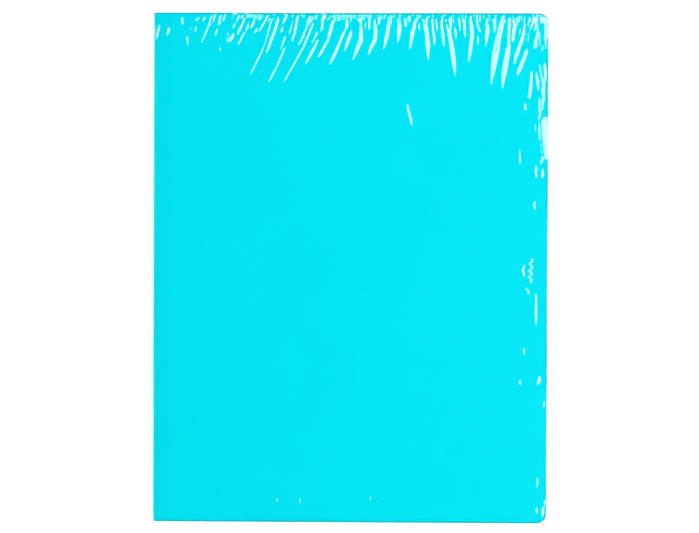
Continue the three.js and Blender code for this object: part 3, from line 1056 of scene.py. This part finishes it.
# Rows down the fore edge: close together at the folds and sparkles, and far apart between them
upper_runs = ((70, 77, 1.8), (77, 92, 1.25), (92, 101, 0.85), (101, 112, 3.6), (112, 121, 0.85))
middle_runs = ((121, 147, 4.3), (147, 165, 0.8), (165, 172, 1.2), (172, 203, 4.4), (203, 209, 1.2))
lower_runs = ((209, 220, 3.7), (220, 228, 1.3), (228, 236, 4.0), (236, 240, 1.0), (240, 280, 5.0))
front_zones = (
    (((0, 0.12, 0.12), (0.12, 5, 0.5), (5, 24, 1.0), (24, 34, 1.6)), 1, ()),
    (((34, 46, 1.7),), 4, ((72, 107), (176, 186), (205, 222), FORE_STRIP)),
    (((46, 70, 1.7),), 8, ((154, 165), FORE_STRIP)),
    (upper_runs + middle_runs + lower_runs + ((280, 290, 2.0),), 24, (FORE_STRIP,)),
    (((290, 304, 1.5), (304, FOOT, 1.1)), 6, ((73, 93), (131, 143), FORE_STRIP)),
)
front_random = np.random.default_rng(11)
front_film = film_half(FRONT_STEP, front_zones, lambda x, y: fold_heights(x, y, front_random))
film_front = thick_sheet("shrink_film_front", *front_film, FILM_HALF)


def back_folds(x, y):
    """Folds of the film under the back cover, gathered from the head and the foot."""
    random = np.random.default_rng(29)
    across, down = on_cover(x, y)
    height = np.zeros_like(across)
    for _ in range(BACK_FOLDS):
        start_x = 4 + 230 * random.random()
        length = 8 + 34 * random.random() ** 2
        lean = random.normal(0, 0.22)
        from_foot = random.random() < 0.5
        start_y = (COVER_HEIGHT - 3 - length) if from_foot else 3.0
        width = 1.2 + 1.6 * random.random()
        path = ((start_x, start_y, width), (start_x + lean * length, start_y + length, width * 0.8))
        raise_fold(height, across, down, path, math.radians(9 + 4 * random.random()))
    return height * MM


back_runs = ((0, 4, 1.0), (4, 60, 2.5), (60, 250, 8.0), (250, 306, 2.5), (306, FOOT, 1.0))
back_film = film_half(BACK_STEP, ((back_runs, 1, ()),), back_folds)
film_back = thick_sheet("shrink_film_back", *mirror_to_back(*back_film), FILM_HALF)

for piece, side in ((film_front, "front"), (film_back, "back")):
    piece.data.materials.append(shrink_film)
    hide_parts(f"film_{side}_panel", f"film_{side}_edge", "film_spine")
    if side == "front":
        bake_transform(piece)
    else:
        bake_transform(piece)


# Trim seal: the hot wire that cuts the film leaves a thin hard bead along the three open edges.
# It is a little uneven, and stands out from the back half of the film, just under the slit.
SEAL_SIZES = {
    "Spacing": 1.2 * MM,
    "Bead Height": 0.24 * MM,
    "Bead Depth": 0.34 * MM,
    "Unevenness": 0.03 * MM,
}
SEAL_OUTSET = 0.36 * MM  # from the cover's edge
SEAL_DROP = 0.2 * MM  # from the top of the film's back half


def seal_tree():
    """The Geometry Nodes that run a bead with an uneven section along a path."""
    tree, size = film_tree("trim_seal", SEAL_SIZES, "Path")
    path = node(tree, "GeometryNodeMeshToCurve", {"Mesh": size["Path"]})
    spaced = {"Curve": path.outputs[0], "Length": size["Spacing"]}
    even = node(tree, "GeometryNodeResampleCurve", spaced, mode="LENGTH")
    upright = node(tree, "GeometryNodeSetCurveNormal", {"Curve": even.outputs[0]}, mode="Z_UP")
    spread = {0: (-1, -1, -1), 1: (1, 1, 1), "Seed": 5}
    wobble = node(tree, "FunctionNodeRandomValue", spread, data_type="FLOAT_VECTOR")
    shifted = {0: wobble.outputs[0], "Scale": size["Unevenness"]}
    shift = node(tree, "ShaderNodeVectorMath", shifted, operation="SCALE")
    moved = {"Geometry": upright.outputs[0], "Offset": shift.outputs[0]}
    uneven = node(tree, "GeometryNodeSetPosition", moved)
    round_section = {"Resolution": 8, "Radius": 0.5}
    ring = node(tree, "GeometryNodeCurvePrimitiveCircle", round_section, mode="RADIUS")
    section_size = vector(tree, size["Bead Depth"], size["Bead Height"], 1.0)
    section = node(tree, "GeometryNodeTransform", {"Geometry": ring.outputs[0], "Scale": section_size})
    run = {"Curve": uneven.outputs[0], "Profile Curve": section.outputs[0], "Fill Caps": True}
    set_result(tree, node(tree, "GeometryNodeCurveToMesh", run).outputs[0], size["Film"])
    return tree


def seal_path(outset, height):
    """A line round the three open edges, that far outside the cover."""
    radius = CORNER_RADIUS + outset
    line = [(SPINE_X + CREASE_RADIUS + 0.3 * MM, HALF_HEIGHT + outset)]
    for turn in np.linspace(math.pi / 2, 0, 13):
        line.append((CORNER_X + radius * math.cos(turn), CORNER_Y + radius * math.sin(turn)))
    line += [(x, -y) for x, y in reversed(line)]
    mesh = bpy.data.meshes.new("seal_path")
    mesh.from_pydata([(x, y, height) for x, y in line], [(k, k + 1) for k in range(len(line) - 1)], [])
    return mesh


seal_plastic = clear_plastic(
    "hardened_film_bead",
    tint=(0.80, 0.93, 0.95, 1),
    milk=(1, 1, 1, 1),
    haze=0.22,
    low_share=0.7,
    gloss=0.12,
    mirror=0.5,
    grain_depth=0.2,
)
seal_values = {**SEAL_SIZES, "Film": seal_plastic}
seal_line = seal_path(SEAL_OUTSET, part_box("film_back_edge")[1].z - SEAL_DROP)
seal = mesh_from_nodes("trim_seal_bead", seal_tree(), seal_values, seal_line)
seal.data.shade_smooth()
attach(seal, "back")


# Studio: a white table that glows a little, as a light table does, and a pale round wall that
# fades out towards its top. The main soft box stands past the fore edge, and weaker ones past the
# head and the spine.
TABLE_RADIUS = 2.4
TABLE_SIDES = 96
WALL_HEIGHT = 2.6
WALL_FADE = 1.2  # the height where the wall begins to fade


def glowing_white(name, whiteness, glow):
    """Matt white that gives off a little light of its own, and fades out up the wall."""
    material, tree, output = new_material(name)
    place = node(tree, "ShaderNodeTexCoord").outputs["Object"]
    cloud = node(tree, "ShaderNodeTexNoise", {"Vector": place, "Scale": 2.0, "Detail": 2.0})
    shade = ramp(tree, cloud.outputs[0], 0.2, 0.8, whiteness - 0.01, whiteness + 0.01)
    colour = node(tree, "ShaderNodeCombineColor", {0: shade, 1: shade, 2: shade})
    surface = {
        "Base Color": colour.outputs[0],
        "Roughness": 0.9,
        "Specular IOR Level": 0.1,
        "Emission Color": (1, 1, 1, 1),
        "Emission Strength": glow,
    }
    shader = node(tree, "ShaderNodeBsdfPrincipled", surface)
    faded = ramp(tree, object_axes(tree)["Z"], WALL_FADE, WALL_HEIGHT)
    clear = node(tree, "ShaderNodeBsdfTransparent")
    mixed = node(tree, "ShaderNodeMixShader", {0: faded, 1: shader.outputs[0], 2: clear.outputs[0]})
    tree.links.new(mixed.outputs[0], output.inputs["Surface"])
    return material


def studio_mesh(name, points, faces, material):
    """A part of the studio, which isn't part of the book."""
    mesh = bpy.data.meshes.new(name)
    mesh.from_pydata(points, [], faces)
    mesh.shade_smooth()
    mesh.materials.append(material)
    add_object(name, mesh)


turns = [2 * math.pi * k / TABLE_SIDES for k in range(TABLE_SIDES)]
table_points = [(TABLE_RADIUS * math.cos(turn), TABLE_RADIUS * math.sin(turn), 0) for turn in turns]
wall_points = table_points + [(x, y, WALL_HEIGHT) for x, y, _ in table_points]
wall_faces = []
for k in range(TABLE_SIDES):
    after = (k + 1) % TABLE_SIDES
    wall_faces.append((k, k + TABLE_SIDES, after + TABLE_SIDES, after))
table_white = glowing_white("table_white", 0.8, 0.5)
studio_mesh("white_table", table_points, [tuple(range(TABLE_SIDES))], table_white)
studio_mesh("round_wall", wall_points, wall_faces, glowing_white("wall_white", 0.8, 0.55))


def soft_box(name, azimuth, zenith, distance, width, depth, brightness):
    """A rectangular soft box that faces the book. Angles are in degrees, azimuth from the fore
    edge towards the head, zenith from straight above. Brightness is its radiance."""
    data = bpy.data.lights.new(name, "AREA")
    data.shape = "RECTANGLE"
    data.size = width
    data.size_y = depth
    data.energy = brightness * math.pi * width * depth
    lamp = add_object(name, data)
    a, z = math.radians(azimuth), math.radians(zenith)
    place = Vector((math.cos(a) * math.sin(z), math.sin(a) * math.sin(z), math.cos(z))) * distance
    back = place.normalized()
    tangent = Vector((-math.sin(a), math.cos(a), 0))
    turn = Matrix((tangent, back.cross(tangent), back)).transposed()
    lamp.matrix_world = Matrix.Translation(place) @ turn.to_4x4()
    lamp.visible_camera = False


soft_box("fore_edge_soft_box", -5, 32, 2.1, 1.75, 1.26, 7.1)
soft_box("head_soft_box", 100, 58, 1.6, 0.9, 0.3, 5.0)
soft_box("spine_soft_box", 205, 62, 1.8, 1.0, 0.6, 3.2)

world = bpy.data.worlds.new("dark_studio")
world.use_nodes = True
world.node_tree.nodes["Background"].inputs["Color"].default_value = (0.01, 0.01, 0.01, 1)
bpy.context.scene.world = world
bpy.context.scene.view_settings.view_transform = "Standard"
bpy.context.scene.cycles.transparent_max_bounces = 96
